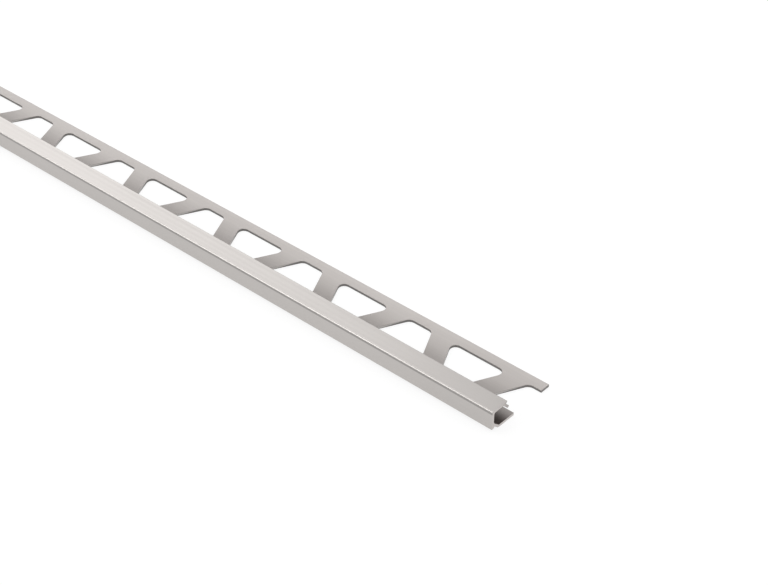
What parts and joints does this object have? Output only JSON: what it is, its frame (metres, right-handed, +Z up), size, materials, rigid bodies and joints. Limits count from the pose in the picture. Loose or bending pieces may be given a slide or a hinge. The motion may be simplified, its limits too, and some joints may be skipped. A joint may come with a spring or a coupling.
{
  "type": "tile edge trim",
  "caption": "Square-edge aluminium trim strip with a perforated anchoring leg, laid under the outermost tile to finish and protect its edge.",
  "frame": {"origin": "middle of the length and width, on the ground under the anchoring leg", "axes": "+X along the stock, +Y from the visible front wall to the rim of the leg, +Z up"},
  "size_m": [1, 0.028, 0.008],
  "materials": {
    "anodised_aluminium": "satin anodised, warm silver grey"
  },
  "bodies": {
    "root": {"edge_trim": "anodised_aluminium"}
  },
  "joints": []
}
